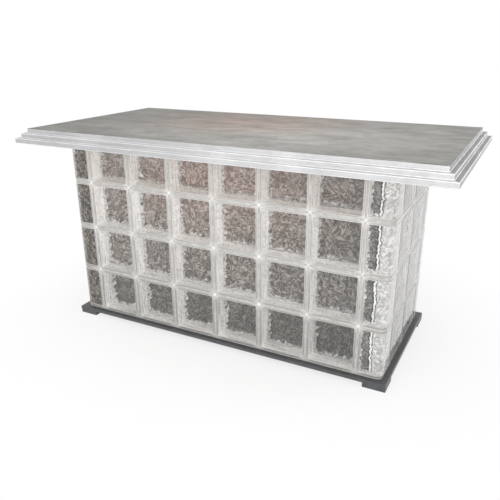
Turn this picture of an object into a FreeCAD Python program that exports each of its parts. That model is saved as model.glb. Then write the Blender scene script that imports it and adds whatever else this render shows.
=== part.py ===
import FreeCAD, Part
import math
import os

# Buffet table: a ring of hollow glass blocks stands on a black base board and carries a top clad in sheet
# metal, whose edge comes down in three steps. Millimetres. X runs along the table, the front faces -Y and
# Z is up. The origin lies on the floor, under the middle of the top.

# Glass blocks
BLOCK_FACE = 196.8       # side of the square face
BLOCK_DEPTH = 79.4       # from the outer face to the inner face, and so the thickness of the walls
CORNER_SIDE = 98.4       # side of a corner unit, which is square in plan
PANE = 8.0               # glass of the two faces
EDGE_WALL = 6.5          # glass of the edges, behind the keyway
LIP = 10.0               # full-size rim of the edge beside each face
KEY_DEPTH = 3.0          # keyway sunk into the edge between the two lips, with flanks at 45 degrees
CORNER_CUT = 5.0         # bevel across the corners of a block
CORNER_ROUND = 26.0      # outer edge of a corner unit
FRONT_BLOCKS = 6         # blocks in a course of the front or the back, between the corner units
END_BLOCKS = 2           # blocks in a course of an end
COURSES = 4

# Joints between the blocks
JOINT = 6.4              # gap between neighbours
BED = 3.2                # bedding under the first course
HEAD_PAD = 4.8           # pad between the last course and the top
RECESS = 1.5             # how far sealant, bedding and pads stay behind the face of the glass

# Base
FOOT_SIDE = 89.0
FOOT_HEIGHT = 19.0
FOOT_BEVEL = 2.0
BASE_THICKNESS = 12.7
BASE_LEDGE = 22.0        # how far the base board stands out from the glass all round
BASE_BEVEL = 1.5

# Top
TOP_LENGTH = 1818.0      # over the lowest step
TOP_DEPTH = 931.0
FRONT_OVERHANG = 109.7   # how far the top stands out over the front of the glass
BOARD = 19.0             # thickness of the board and of each layer of edge strips
STEP_OUT = 19.0          # how far each step stands out from the one above
STRIP_WIDTH = 70.0       # edge strips, from front to back
SHEET = 1.0              # metal cladding
RETURN = 16.0            # fold of the cladding under the lowest step

# Cleats that keep the top in place
CLEAT = 38.0             # square section
CLEAT_GAP = 3.0          # play between a cleat and the glass
CLEAT_END_ROOM = 71.0    # from a cleat's end to the corner unit beyond it

# Wood screws
SHANK = 4.2
HEAD = 8.4
HEAD_HEIGHT = 2.1
SCREW_SIDES = 8
SCREW_PLAY = 0.2         # between a screw and its hole, all round
HEAD_SINK = 1.0          # screw heads lie this far below the surface
BASE_BITE = 8.0          # screw length held in the base board
BOARD_BITE = 12.0        # screw length held in the board of the top
FOOT_SCREW_EDGE = 24.0   # from the edges of a foot to its screws
CLEAT_SCREW_END = 50.0   # from the ends of a cleat to its screws

# Worked out from these
PITCH = BLOCK_FACE + JOINT
FRONT_RUN = FRONT_BLOCKS * PITCH - JOINT
END_RUN = END_BLOCKS * PITCH - JOINT
RING_LENGTH = FRONT_RUN + 2 * (JOINT + CORNER_SIDE)
RING_DEPTH = END_RUN + 2 * (JOINT + CORNER_SIDE)
RING_HEIGHT = COURSES * PITCH - JOINT
BASE_TOP = FOOT_HEIGHT + BASE_THICKNESS
FIRST_COURSE = BASE_TOP + BED
RING_TOP = FIRST_COURSE + RING_HEIGHT
BOARD_BOTTOM = RING_TOP + HEAD_PAD
BOARD_TOP = BOARD_BOTTOM + BOARD
KEY_START = LIP + KEY_DEPTH
KEY_WIDTH = BLOCK_DEPTH - 2 * KEY_START
KEY_BAR = JOINT + 2 * KEY_DEPTH
RING_CENTRE = FreeCAD.Vector(0, RING_DEPTH / 2 + FRONT_OVERHANG - TOP_DEPTH / 2, 0)
UP = FreeCAD.Vector(0, 0, 1)
ORIGIN = FreeCAD.Vector(0, 0, 0)

# Each wall is a quarter turn on from the one before. Its row gives the turns, the blocks in a course, half
# the length of the ring along it, and the way from the middle of the ring to its outer face.
WALLS = {
    "front": (0, FRONT_BLOCKS, RING_LENGTH / 2, RING_DEPTH / 2),
    "right": (1, END_BLOCKS, RING_DEPTH / 2, RING_LENGTH / 2),
    "back": (2, FRONT_BLOCKS, RING_LENGTH / 2, RING_DEPTH / 2),
    "left": (3, END_BLOCKS, RING_DEPTH / 2, RING_LENGTH / 2),
}
# The corner at the right-hand end of each wall, seen from outside.
CORNERS = {"front_right": "front", "back_right": "right", "back_left": "back", "front_left": "left"}


def point(x, y, z):
    return FreeCAD.Vector(x, y, z)


def box(x_range, y_range, z_range):
    size = [high - low for low, high in (x_range, y_range, z_range)]
    return Part.makeBox(*size, point(x_range[0], y_range[0], z_range[0]))


def flat_face(points):
    return Part.Face(Part.makePolygon(points + points[:1]))


def solid_through(loops):
    """Closed solid with flat sides through a row of matching loops of points."""
    faces = [flat_face(loops[0]), flat_face(loops[-1])]
    for near, far in zip(loops, loops[1:]):
        for i in range(len(near)):
            j = (i + 1) % len(near)
            faces.append(flat_face([near[i], near[j], far[j], far[i]]))
    shell = Part.makeShell(faces)
    shell.sewShape()
    solid = Part.makeSolid(shell)
    if solid.Volume < 0:
        solid.reverse()
    return solid


def write(name, solids):
    shape = solids[0] if len(solids) == 1 else Part.makeCompound(solids)
    shape.exportStep("parts/" + name + ".step")


def turned(shape, turn, x, y, z):
    """A copy moved to its place beside the front wall, then turned round the ring by quarter turns."""
    placed = shape.copy()
    placed.translate(point(x, y, z))
    placed.rotate(ORIGIN, UP, 90 * turn)
    placed.translate(RING_CENTRE)
    return placed


def on_wall(shape, wall, along, z):
    turn, _, _, reach = WALLS[wall]
    return turned(shape, turn, along, -reach, z)


def on_corner(shape, corner, z):
    turn, _, half_length, reach = WALLS[CORNERS[corner]]
    return turned(shape, turn, half_length, -reach, z)


def course_bottom(course):
    return FIRST_COURSE + course * PITCH


def block_places(wall):
    """Middle of each block along its wall."""
    count = WALLS[wall][1]
    return [(i - (count - 1) / 2) * PITCH for i in range(count)]


def joint_places(wall):
    """Middle of each upright joint along its wall, those at the corner units among them."""
    count = WALLS[wall][1]
    return [(i - count / 2) * PITCH for i in range(count + 1)]


# Glass

def block_outline(inset, y):
    """Square of a block's face with bevelled corners, drawn in by inset, at depth y."""
    half = BLOCK_FACE / 2 - inset
    short = half - CORNER_CUT
    corners = [(-short, -half), (short, -half), (half, -short), (half, short),
               (short, half), (-short, half), (-half, short), (-half, -short)]
    return [point(x, y, z + BLOCK_FACE / 2) for x, z in corners]


def glass_block():
    """Hollow block: two faces, and an edge with a lip at each face and a keyway between the lips."""
    outside = solid_through([
        block_outline(0, 0),
        block_outline(0, LIP),
        block_outline(KEY_DEPTH, KEY_START),
        block_outline(KEY_DEPTH, BLOCK_DEPTH - KEY_START),
        block_outline(0, BLOCK_DEPTH - LIP),
        block_outline(0, BLOCK_DEPTH),
    ])
    wall = KEY_DEPTH + EDGE_WALL
    reach = BLOCK_FACE / 2 - wall
    hollow = box((-reach, reach), (PANE, BLOCK_DEPTH - PANE), (wall, BLOCK_FACE - wall))
    return outside.cut(hollow)


def corner_outline(inset, keyed):
    """Plan of a corner unit whose outer edge is at the origin, drawn in by inset on all sides."""
    near = -inset
    far = -CORNER_SIDE + inset
    radius = CORNER_ROUND - inset
    middle = math.sqrt(0.5)
    arc = Part.Arc(
        point(near - radius, -near, 0),
        point(near - radius + radius * middle, -near + radius - radius * middle, 0),
        point(near, -near + radius, 0),
    )
    corner = [point(near, -far, 0)]
    if keyed:
        corner += [
            point(-LIP, -far, 0),
            point(-KEY_START, -far - KEY_DEPTH, 0),
            point(-BLOCK_DEPTH + KEY_START, -far - KEY_DEPTH, 0),
            point(-BLOCK_DEPTH + LIP, -far, 0),
        ]
    corner.append(point(far, -far, 0))
    if keyed:
        corner += [
            point(far, BLOCK_DEPTH - LIP, 0),
            point(far + KEY_DEPTH, BLOCK_DEPTH - KEY_START, 0),
            point(far + KEY_DEPTH, KEY_START, 0),
            point(far, LIP, 0),
        ]
    corner.append(point(far, -near, 0))
    path = [arc.EndPoint] + corner + [arc.StartPoint]
    sides = [Part.makeLine(a, b) for a, b in zip(path, path[1:])]
    return Part.Face(Part.Wire([arc.toShape()] + sides))


def corner_unit():
    """Hollow corner unit with a rounded outer edge and a keyway in both sides that meet a neighbour."""
    outside = corner_outline(0, True).extrude(UP * BLOCK_FACE)
    wall = KEY_DEPTH + EDGE_WALL
    hollow = corner_outline(wall, False).extrude(UP * (BLOCK_FACE - 2 * EDGE_WALL))
    hollow.translate(UP * EDGE_WALL)
    return outside.cut(hollow)


def write_glass():
    block = glass_block()
    for course in range(COURSES):
        for wall in WALLS:
            blocks = [on_wall(block, wall, along, course_bottom(course)) for along in block_places(wall)]
            write("course_%d_%s_blocks" % (course + 1, wall), blocks)
    unit = corner_unit()
    for corner in CORNERS:
        stack = [on_corner(unit, corner, course_bottom(course)) for course in range(COURSES)]
        write("corner_units_" + corner, stack)


# Joints

def wall_pads(thickness, z):
    """Flat pads between the ring of glass and what lies under or over it, one for each wall."""
    front = RING_LENGTH / 2 - RECESS
    radius = CORNER_ROUND - RECESS
    back = BLOCK_DEPTH - RECESS
    middle = radius - radius * math.sqrt(0.5)
    arcs = []
    for side in (-1, 1):
        arcs.append(Part.Arc(
            point(side * (front - radius), RECESS, 0),
            point(side * (front - middle), RECESS + middle, 0),
            point(side * front, RECESS + radius, 0),
        ))
    left, right = arcs
    edges = [
        Part.makeLine(left.StartPoint, right.StartPoint),
        right.toShape(),
        Part.makeLine(right.EndPoint, point(front, back, 0)),
        Part.makeLine(point(front, back, 0), point(-front, back, 0)),
        Part.makeLine(point(-front, back, 0), left.EndPoint),
        left.toShape(),
    ]
    long_pad = Part.Face(Part.Wire(edges)).extrude(UP * thickness)
    reach = RING_DEPTH / 2 - BLOCK_DEPTH
    short_pad = box((-reach, reach), (RECESS, back), (0, thickness))
    pads = {"front": long_pad, "back": long_pad, "left": short_pad, "right": short_pad}
    return [on_wall(pad, wall, 0, z) for wall, pad in pads.items()]


def write_bedding():
    write("base_bedding", wall_pads(BED, BASE_TOP))
    write("head_pads", wall_pads(HEAD_PAD, RING_TOP))
    pad = corner_outline(RECESS, False).extrude(UP * JOINT)
    levels = [course_bottom(course) - JOINT for course in range(1, COURSES)]
    write("corner_bedding", [on_corner(pad, corner, z) for corner in CORNERS for z in levels])


def write_spacers():
    """Bars in the keyways: level ones right along each wall, upright ones between them."""
    depth = (KEY_START, KEY_START + KEY_WIDTH)
    for course in range(1, COURSES):
        bars = []
        for wall in WALLS:
            reach = WALLS[wall][2] - CORNER_SIDE
            bar = box((-reach, reach), depth, (-KEY_BAR / 2, KEY_BAR / 2))
            bars.append(on_wall(bar, wall, 0, course_bottom(course) - JOINT / 2))
        write("level_spacers_%d" % course, bars)
    upright = box((-KEY_BAR / 2, KEY_BAR / 2), depth, (KEY_DEPTH, BLOCK_FACE - KEY_DEPTH))
    for wall in WALLS:
        bars = [on_wall(upright, wall, along, course_bottom(course))
                for along in joint_places(wall) for course in range(COURSES)]
        write("upright_spacers_" + wall, bars)


def write_sealant():
    """Sealant between the outer lips: full-height upright beads, and level beads between them."""
    depth = (RECESS, LIP)
    upright = box((-JOINT / 2, JOINT / 2), depth, (0, RING_HEIGHT))
    level = box((-BLOCK_FACE / 2, BLOCK_FACE / 2), depth, (-JOINT, 0))
    for wall in WALLS:
        beads = [on_wall(upright, wall, along, FIRST_COURSE) for along in joint_places(wall)]
        for course in range(1, COURSES):
            beads += [on_wall(level, wall, along, course_bottom(course)) for along in block_places(wall)]
        write("sealant_" + wall, beads)


# Base

def ring(radius, z):
    """Loop of points round a screw's axis."""
    turns = [2 * math.pi * i / SCREW_SIDES for i in range(SCREW_SIDES)]
    return [point(radius * math.cos(turn), radius * math.sin(turn), z) for turn in turns]


def screw(length):
    """Countersunk screw that points up from the origin, with its head at the bottom."""
    return solid_through([ring(HEAD / 2, 0), ring(SHANK / 2, HEAD_HEIGHT), ring(SHANK / 2, length)])


def screw_hole(length):
    """Room for a screw whose head lies below the surface: a sunk seat and a hole up to its tip."""
    head = HEAD / 2 + SCREW_PLAY
    shank = SHANK / 2 + SCREW_PLAY
    seat = [ring(head, -HEAD_SINK), ring(head, 0), ring(shank, HEAD_HEIGHT)]
    return solid_through(seat + [ring(shank, length)])


def moved(shape, place):
    placed = shape.copy()
    placed.translate(place)
    return placed


def upright_edges(solid):
    return [edge for edge in solid.Edges if abs(edge.tangentAt(edge.FirstParameter).z) > 0.5]


def write_base():
    half_x = RING_LENGTH / 2 + BASE_LEDGE
    half_y = RING_DEPTH / 2 + BASE_LEDGE
    base = box((-half_x, half_x), (-half_y, half_y), (FOOT_HEIGHT, BASE_TOP))
    rim = [edge for edge in base.Edges if edge.BoundBox.ZMin > FOOT_HEIGHT + BASE_THICKNESS / 2]
    base = moved(base.makeChamfer(BASE_BEVEL, rim), RING_CENTRE)

    length = FOOT_HEIGHT - HEAD_SINK + BASE_BITE
    foot_screw = screw(length)
    hole = screw_hole(length)
    plain_foot = box((0, FOOT_SIDE), (0, FOOT_SIDE), (0, FOOT_HEIGHT))
    plain_foot = plain_foot.makeChamfer(FOOT_BEVEL, upright_edges(plain_foot))
    inner = FOOT_SIDE - FOOT_SCREW_EDGE
    spots = [(FOOT_SCREW_EDGE, inner), (inner, FOOT_SCREW_EDGE)]
    screws = []
    for name in CORNERS:
        corner_x = half_x - FOOT_SIDE if "right" in name else -half_x
        corner_y = half_y - FOOT_SIDE if "back" in name else -half_y
        corner = RING_CENTRE + point(corner_x, corner_y, 0)
        foot = moved(plain_foot, corner)
        for x, y in spots:
            place = corner + point(x, y, HEAD_SINK)
            foot = foot.cut(moved(hole, place))
            base = base.cut(moved(hole, place))
            screws.append(moved(foot_screw, place))
        write("foot_" + name, [foot])
    write("base_board", [base])
    write("foot_screws", screws)


# Top

def mitred(profile, half_length, half_depth, wall):
    """Edge piece with mitred ends. Points of its profile: the way in from the lowest step, and a height."""
    ends = []
    for side in (-1, 1):
        ends.append([point(side * (half_length - inset), -half_depth + inset, z) for inset, z in profile])
    piece = solid_through(ends)
    piece.rotate(ORIGIN, UP, 90 * WALLS[wall][0])
    return piece


def strip_profile(outer, bottom, top):
    inner = outer + STRIP_WIDTH
    return [(outer, bottom), (outer, top), (inner, top), (inner, bottom)]


def write_edge():
    """Two layers of edge strips under the rim of the board, and the stepped cladding that covers them."""
    mid_bottom = BOARD_BOTTOM - BOARD
    low_bottom = mid_bottom - BOARD
    low = SHEET
    mid = STEP_OUT + SHEET
    high = 2 * STEP_OUT + SHEET
    mid_strip = strip_profile(mid, mid_bottom, BOARD_BOTTOM)
    low_strip = strip_profile(low, low_bottom, mid_bottom)
    inside = [(high, BOARD_TOP), (high, BOARD_BOTTOM), (mid, BOARD_BOTTOM), (mid, mid_bottom),
              (low, mid_bottom), (low, low_bottom), (RETURN, low_bottom)]
    outside = [(RETURN, low_bottom - SHEET), (0, low_bottom - SHEET), (0, mid_bottom + SHEET),
               (STEP_OUT, mid_bottom + SHEET), (STEP_OUT, BOARD_BOTTOM + SHEET),
               (2 * STEP_OUT, BOARD_BOTTOM + SHEET), (2 * STEP_OUT, BOARD_TOP)]
    for wall in WALLS:
        along = wall in ("front", "back")
        half_length = TOP_LENGTH / 2 if along else TOP_DEPTH / 2
        half_depth = TOP_DEPTH / 2 if along else TOP_LENGTH / 2
        write("mid_edge_strip_" + wall, [mitred(mid_strip, half_length, half_depth, wall)])
        write("low_edge_strip_" + wall, [mitred(low_strip, half_length, half_depth, wall)])
        write("edge_trim_" + wall, [mitred(inside + outside, half_length, half_depth, wall)])


def write_top():
    rim_x = TOP_LENGTH / 2 - 2 * STEP_OUT
    rim_y = TOP_DEPTH / 2 - 2 * STEP_OUT
    skin = box((-rim_x, rim_x), (-rim_y, rim_y), (BOARD_TOP, BOARD_TOP + SHEET))
    board = box((-rim_x + SHEET, rim_x - SHEET), (-rim_y + SHEET, rim_y - SHEET), (BOARD_BOTTOM, BOARD_TOP))
    cleat_bottom = BOARD_BOTTOM - CLEAT
    length = CLEAT - HEAD_SINK + BOARD_BITE
    cleat_screw = screw(length)
    hole = screw_hole(length)
    screws = []
    near = BLOCK_DEPTH + CLEAT_GAP
    for wall in WALLS:
        half = WALLS[wall][2] - CORNER_SIDE - CLEAT_END_ROOM
        cleat = box((-half, half), (near, near + CLEAT), (0, CLEAT))
        cleat = on_wall(cleat, wall, 0, cleat_bottom)
        for along in (-half + CLEAT_SCREW_END, half - CLEAT_SCREW_END):
            place = point(along, near + CLEAT / 2, HEAD_SINK)
            cleat = cleat.cut(on_wall(moved(hole, place), wall, 0, cleat_bottom))
            board = board.cut(on_wall(moved(hole, place), wall, 0, cleat_bottom))
            screws.append(on_wall(moved(cleat_screw, place), wall, 0, cleat_bottom))
        write("cleat_" + wall, [cleat])
    write("top_board", [board])
    write("top_sheet", [skin])
    write("cleat_screws", screws)


os.makedirs("parts", exist_ok=True)
write_glass()
write_bedding()
write_spacers()
write_sealant()
write_base()
write_edge()
write_top()
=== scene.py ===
import math
import random

import bpy
import numpy as np
from mathutils import Matrix, Vector, noise


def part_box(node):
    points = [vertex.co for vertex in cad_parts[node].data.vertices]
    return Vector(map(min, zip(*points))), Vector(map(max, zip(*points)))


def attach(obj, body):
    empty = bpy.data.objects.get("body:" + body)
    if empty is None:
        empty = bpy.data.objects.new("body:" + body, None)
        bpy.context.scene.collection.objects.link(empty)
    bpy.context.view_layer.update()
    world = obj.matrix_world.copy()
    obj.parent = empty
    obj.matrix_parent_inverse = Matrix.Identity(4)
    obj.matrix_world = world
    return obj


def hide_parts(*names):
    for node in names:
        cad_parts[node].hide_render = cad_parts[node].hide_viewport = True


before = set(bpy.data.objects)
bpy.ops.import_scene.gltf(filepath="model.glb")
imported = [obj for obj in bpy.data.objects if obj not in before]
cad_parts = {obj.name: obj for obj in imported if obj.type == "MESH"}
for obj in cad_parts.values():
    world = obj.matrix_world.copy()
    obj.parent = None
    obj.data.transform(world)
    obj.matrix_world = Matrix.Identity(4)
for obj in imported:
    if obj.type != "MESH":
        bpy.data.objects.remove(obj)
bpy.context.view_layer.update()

# Buffet table of hollow glass blocks under a stepped metal top. Metres. First what the frame doesn't give.

# Glass blocks and corner units
PANE = 0.008             # glass of the faces
LIP = 0.010              # full-size rim of the edge beside each face
KEY_DEPTH = 0.003        # keyway between the lips
RIM = 0.0095             # solid glass round the hollow, keyway included
FACE_ROUND = 0.0025      # rounding between a face and its lip
ROUND_STEPS = 3          # mesh steps in a small rounding
SKIN = 0.0006            # what lies inside the glass keeps this far behind a face
CORNER_CUT = 0.005       # rounding across the corners of a block
CUT_EASE = 0.4           # it gets smaller by this share of the distance from the edge
LEAST_CUT = 0.0015       # but not smaller than this
CORNER_ROUND = 0.026     # outer edge of a corner unit
DRAFT = 0.003            # the side walls of the hollow lean in by this much towards the inner pane
COVE = 0.015             # rounding where they meet that pane
COVE_STEPS = 4           # mesh steps in that rounding
CELLS = 40               # mesh cells across a rippled pane
RIPPLE = 0.0010          # height of the ripple pressed into the inside of a pane
RIPPLE_LENGTH = 0.019    # distance between its crests
RIPPLE_DRIFT = 1.5       # the crests wander by up to this many times that distance
DRIFT_LENGTH = 2.6       # and bend over this many times that distance
FINE_WAVES = 2.3         # a finer ripple has this many crests to each of them
CREST_SHARE = 0.75       # share of the crests in the height
FINE_SHARE = 0.35        # and of the finer ripple
FADE_CELLS = 2           # the ripple dies out at the edges over this many mesh cells
NEAR_SEED = 3.1          # start of the ripple of the outer pane, and below of the inner pane
FAR_SEED = 7.7
# The edge mark masks the painted highlight along the inner pane's edge.
EDGE_FADE = 0.011        # the mark of the inner pane's edge fades out over this distance
CORNER_RIB = 0.046       # wandering rib of a corner unit, from its joint with the front
RIB_SWAY = 0.0055        # the rib wanders to each side by up to this much
RIB_WAVES = 60           # waves of that wander in a metre of height
RIB_SIZE = 0.003         # height and half width of the rib
RIB_MARK = 0.665         # place of the rib on the scale that the mesh carries

# Joints
BEAD_SINK = 0.0012       # sealant beads lie this far behind the glass
BEAD_HOLLOW = 0.0010     # and their middle is drawn in by this much
BEAD_STEP = 0.018        # distance between the mesh rows of a bead
BEAD_UNEVEN = 0.0003     # unevenness of a bead
BEAD_WAVES = 40          # waves of that unevenness in a metre of joint
BEAD_DEPTH_WAVES = 200   # and in a metre of depth
BLOB = 0.0078            # radius of the sealant where four blocks meet
BLOB_SIDES = 12
BLOB_RINGS = [(1.0, 0.0030), (0.8, 0.0014), (0.45, 0.0006), (0.15, 0.0004)]    # share of radius, depth
BLOB_LOBE = 0.16         # it reaches this share further into the four joints
BLOB_UNEVEN = 0.08

# Metal top
STEP_OUT = 0.019         # width and height of a step
SHEET = 0.001            # thickness of the sheet
SHEET_SHARE = 0.9        # share of that thickness in the folds, and in the eased rim of the top sheet
RETURN = 0.016           # fold under the lowest step
FOLD = 0.0014            # rounding of the folded edges
FLAT_GUARD = 0.001       # flats start this far from a rounding

# Look of the glass
# Painted shade and painted warm reflection: the inner panes are darker low down near the black base and
# warmer higher up, and rims and side walls are darker low down.
DARK_RISE = (0.19, 0.27)    # heights over which the inner panes get lighter
WARM_RISE = (0.38, 0.66)    # and warmer
PALE_RISE = (0.1, 0.5)      # heights over which rims and side walls get lighter
GLASS_IOR = 1.5
FULL_TURN = 6.28            # radians, for strokes that may lie any way

# Camera and light
CAMERA_PLACE = (1.0988, -2.1499, 1.2205)
CAMERA_HEADING = 27.47   # degrees, from the Y axis towards -X
CAMERA_TILT = -20.64
CAMERA_ROLL = -0.34
CAMERA_LENS = 40.35      # millimetres, as is the sensor's width
SENSOR = 36.0
AMBIENT = 0.46           # strength of the white surroundings as a light
FLOOR_REACH = 30.0
LAMPS = {                # place, what it aims at, width, height and power in watts
    "key_softbox": ((3.6, -3.3, 1.9), (0, -0.3, 0.5), 5.0, 3.2, 90),
    "front_softbox": ((-0.9, -4.5, 0.95), (-0.1, -0.4, 0.75), 4.5, 1.8, 20),
    "back_softbox": ((3.7, 4.0, 1.6), (0.0, 0.3, 0.5), 4.2, 2.6, 95),
    "left_softbox": ((-4.6, -0.5, 1.3), (-0.6, 0.0, 0.4), 3.6, 2.2, 60),
    "low_softbox": ((0.2, -2.7, 1.16), (0.4, -0.4, 0.86), 2.4, 0.7, 26),
    "overhead_softbox": ((0.0, 0.0, 3.2), (0.0, 0.0, 0.8), 3.0, 2.0, 18),
}

# Quarter turns of each wall from the front, and the wall at whose right-hand end each corner stands
WALLS = {"front": 0, "right": 1, "back": 2, "left": 3}
CORNERS = {"front_right": "front", "back_right": "right", "back_left": "back", "front_left": "left"}
COURSES = 4

# Sizes read from the frame
front_low, front_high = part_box("course_1_front_blocks")
back_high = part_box("course_1_back_blocks")[1]
right_low, right_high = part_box("course_1_right_blocks")
second_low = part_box("course_2_front_blocks")[0]
corner_low, corner_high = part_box("corner_units_front_right")
top_low, top_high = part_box("top_sheet")
DEPTH = front_high.y - front_low.y
FACE = front_high.z - front_low.z
CORNER_SIDE = corner_high.x - corner_low.x
CORNER_FLAT = CORNER_SIDE - CORNER_ROUND
PITCH = second_low.z - front_low.z
JOINT = PITCH - FACE
FIRST_COURSE = front_low.z
RING_HEIGHT = COURSES * PITCH - JOINT
RING_CENTRE = Vector((0, (front_low.y + back_high.y) / 2, 0))
HALF_DEPTH = (back_high.y - front_low.y) / 2
HALF_LENGTH = right_high.x
FRONT_COUNT = round((front_high.x - front_low.x + JOINT) / PITCH)
END_COUNT = round((right_high.y - right_low.y + JOINT) / PITCH)
COUNT = {"front": FRONT_COUNT, "right": END_COUNT, "back": FRONT_COUNT, "left": END_COUNT}
REACH = {"front": HALF_DEPTH, "right": HALF_LENGTH, "back": HALF_DEPTH, "left": HALF_LENGTH}
SPAN = {"front": HALF_LENGTH, "right": HALF_DEPTH, "back": HALF_LENGTH, "left": HALF_DEPTH}
HOLLOW = FACE / 2 - RIM

SEED = 8
dice = random.Random(SEED)
noise.seed_set(SEED)


# Materials

def shade(red, green, blue):
    """Colour as it looks on a screen, 0 to 255, as a shader's linear colour."""
    def linear(value):
        value /= 255
        return value / 12.92 if value <= 0.04045 else ((value + 0.055) / 1.055) ** 2.4
    return (linear(red), linear(green), linear(blue), 1.0)


def pale_grey(level):
    return shade(level, level - 2, level - 5)


WHITE = shade(255, 255, 255)


class Graph:
    """Nodes of a material or of the world, added one by one."""

    def __init__(self, tree):
        self.tree = tree

    def feed(self, socket, value):
        """Links what another node gives to a socket, or sets the socket to a plain value."""
        if isinstance(value, bpy.types.NodeSocket):
            self.tree.links.new(value, socket)
        else:
            socket.default_value = value

    def put(self, node, values):
        """Feeds a node's sockets by name, with _ for a space."""
        for label, value in values.items():
            self.feed(node.inputs[label.replace("_", " ")], value)

    def add(self, kind, settings=None, **values):
        node = self.tree.nodes.new("ShaderNode" + kind)
        for key, value in (settings or {}).items():
            setattr(node, key, value)
        self.put(node, values)
        return node

    def fill(self, kind, settings, *values):
        """Adds a node and feeds its sockets in their order."""
        node = self.add(kind, settings)
        for socket, value in zip(node.inputs, values):
            self.feed(socket, value)
        return node

    def math(self, operation, *values):
        return self.fill("Math", {"operation": operation}, *values).outputs[0]

    def vector(self, operation, *values):
        return self.fill("VectorMath", {"operation": operation}, *values).outputs["Vector"]

    def length(self, value):
        return self.fill("VectorMath", {"operation": "LENGTH"}, value).outputs["Value"]

    def span(self, value, low, high, start=0.0, end=1.0):
        """Takes the range from start to end over to the range from low to high."""
        return self.fill("MapRange", None, value, start, end, low, high).outputs[0]

    def step(self, value, start, end):
        """0 below the start and 1 above the end."""
        return self.span(value, 0.0, 1.0, start, end)

    def fall(self, value, start, end):
        """1 below the start and 0 above the end."""
        return self.span(value, 1.0, 0.0, start, end)

    def seen(self):
        """1 for what the camera sees, straight or in metal and glass, and 0 for what only gives light."""
        path = self.add("LightPath").outputs
        straight = self.math("MAXIMUM", path["Is Camera Ray"], path["Is Glossy Ray"])
        return self.math("MAXIMUM", straight, path["Is Transmission Ray"])

    def mix_shaders(self, share, first, second, output):
        mix = self.fill("MixShader", None, share, first.outputs[0], second.outputs[0])
        self.tree.links.new(mix.outputs[0], self.tree.nodes[output].inputs["Surface"])


class Finish(Graph):
    """A material of one shader, and the patterns that finishes share."""

    def __init__(self, name, **settings):
        self.material = bpy.data.materials.new(name)
        self.material.use_nodes = True
        super().__init__(self.material.node_tree)
        self.shader = self.tree.nodes["Principled BSDF"]
        self.put(self.shader, settings)

    def paint(self, tone, **settings):
        self.put(self.shader, {"Base Color": tone, **settings})

    def bump(self, height, strength, distance):
        node = self.add("Bump", Height=height, Strength=strength, Distance=distance)
        self.put(self.shader, {"Normal": node.outputs["Normal"]})

    def place(self, stretch=(1, 1, 1), turn=(0, 0, 0), shift=(0, 0, 0)):
        """Object coordinates, stretched, turned and shifted."""
        here = self.add("TexCoord").outputs["Object"]
        mapping = self.add("Mapping", Vector=here, Scale=stretch, Rotation=turn, Location=shift)
        return mapping.outputs["Vector"]

    def axis(self, where, name):
        return self.add("SeparateXYZ", Vector=where).outputs[name]

    def apart(self, centre, stretch):
        """Distance from a spot, with each axis stretched."""
        return self.length(self.place(stretch, shift=[-at * by for at, by in zip(centre, stretch)]))

    def noise(self, where, scale, detail=4.0, roughness=0.5, distortion=0.0):
        node = self.add("TexNoise", Vector=where, Scale=scale, Detail=detail, Roughness=roughness,
                        Distortion=distortion)
        return node.outputs[0]

    def attribute(self, name):
        return self.add("Attribute", {"attribute_name": name}).outputs["Fac"]

    def ramp(self, value, *stops):
        node = self.add("ValToRGB", Fac=value)
        elements = node.color_ramp.elements
        elements.remove(elements[1])
        elements[0].position, elements[0].color = stops[0]
        for position, colour in stops[1:]:
            elements.new(position).color = colour
        return node.outputs["Color"]

    def blend(self, kind, share, first, second):
        node = self.add("Mix", {"data_type": "RGBA", "blend_type": kind})
        for index, value in ((0, share), (6, first), (7, second)):
            self.feed(node.inputs[index], value)
        return node.outputs[2]

    def strokes(self, where):
        """Crackle of pressed glass: strokes about 8 mm wide, in patches that each run their own way."""
        drift = self.add("TexNoise", Vector=where, Scale=34.0, Detail=1.0).outputs["Color"]
        bent = self.vector("MULTIPLY_ADD", drift, (0.03, 0.03, 0.03), where)
        patch = self.add("TexVoronoi", Vector=bent, Scale=15.0).outputs
        local = self.vector("SUBTRACT", bent, patch["Position"])
        turn = self.vector("MULTIPLY", patch["Color"], (FULL_TURN, FULL_TURN, FULL_TURN))
        turned = self.add("VectorRotate", {"rotation_type": "EULER_XYZ"}, Vector=local, Rotation=turn)
        spread = self.vector("MULTIPLY_ADD", turned.outputs["Vector"], (15.0, 128.0, 128.0), turn)
        return self.noise(spread, 1.0, detail=1.5)

    def crossing(self, where, axis, middle):
        """1 where four blocks meet, and 0 from about 33 mm away."""
        square = 0.0
        for name, joint in ((axis, middle), ("Z", FIRST_COURSE - JOINT / 2)):
            blocks = self.math("DIVIDE", self.math("SUBTRACT", self.axis(where, name), joint), PITCH)
            off = self.math("SUBTRACT", blocks, self.math("ROUND", blocks))
            square = self.math("ADD", self.math("MULTIPLY", off, off), square)
        return self.fall(self.math("SQRT", square), 0.05, 0.16)

    def in_course(self, where):
        """Height above the foot of the course, 0 to 1."""
        height = self.math("SUBTRACT", self.axis(where, "Z"), FIRST_COURSE)
        return self.math("FRACT", self.math("DIVIDE", height, PITCH))

    def rise(self, where, start, end):
        """0 below the first height and 1 above the second."""
        return self.step(self.axis(where, "Z"), start, end)


def let_light_in(finish):
    """Lamps and bounced light pass straight through this glass and light what is behind it."""
    path = finish.add("LightPath").outputs
    open_to = finish.math("MAXIMUM", path["Is Shadow Ray"], path["Is Diffuse Ray"])
    finish.mix_shaders(open_to, finish.shader, finish.add("BsdfTransparent", Color=WHITE), "Material Output")


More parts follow.
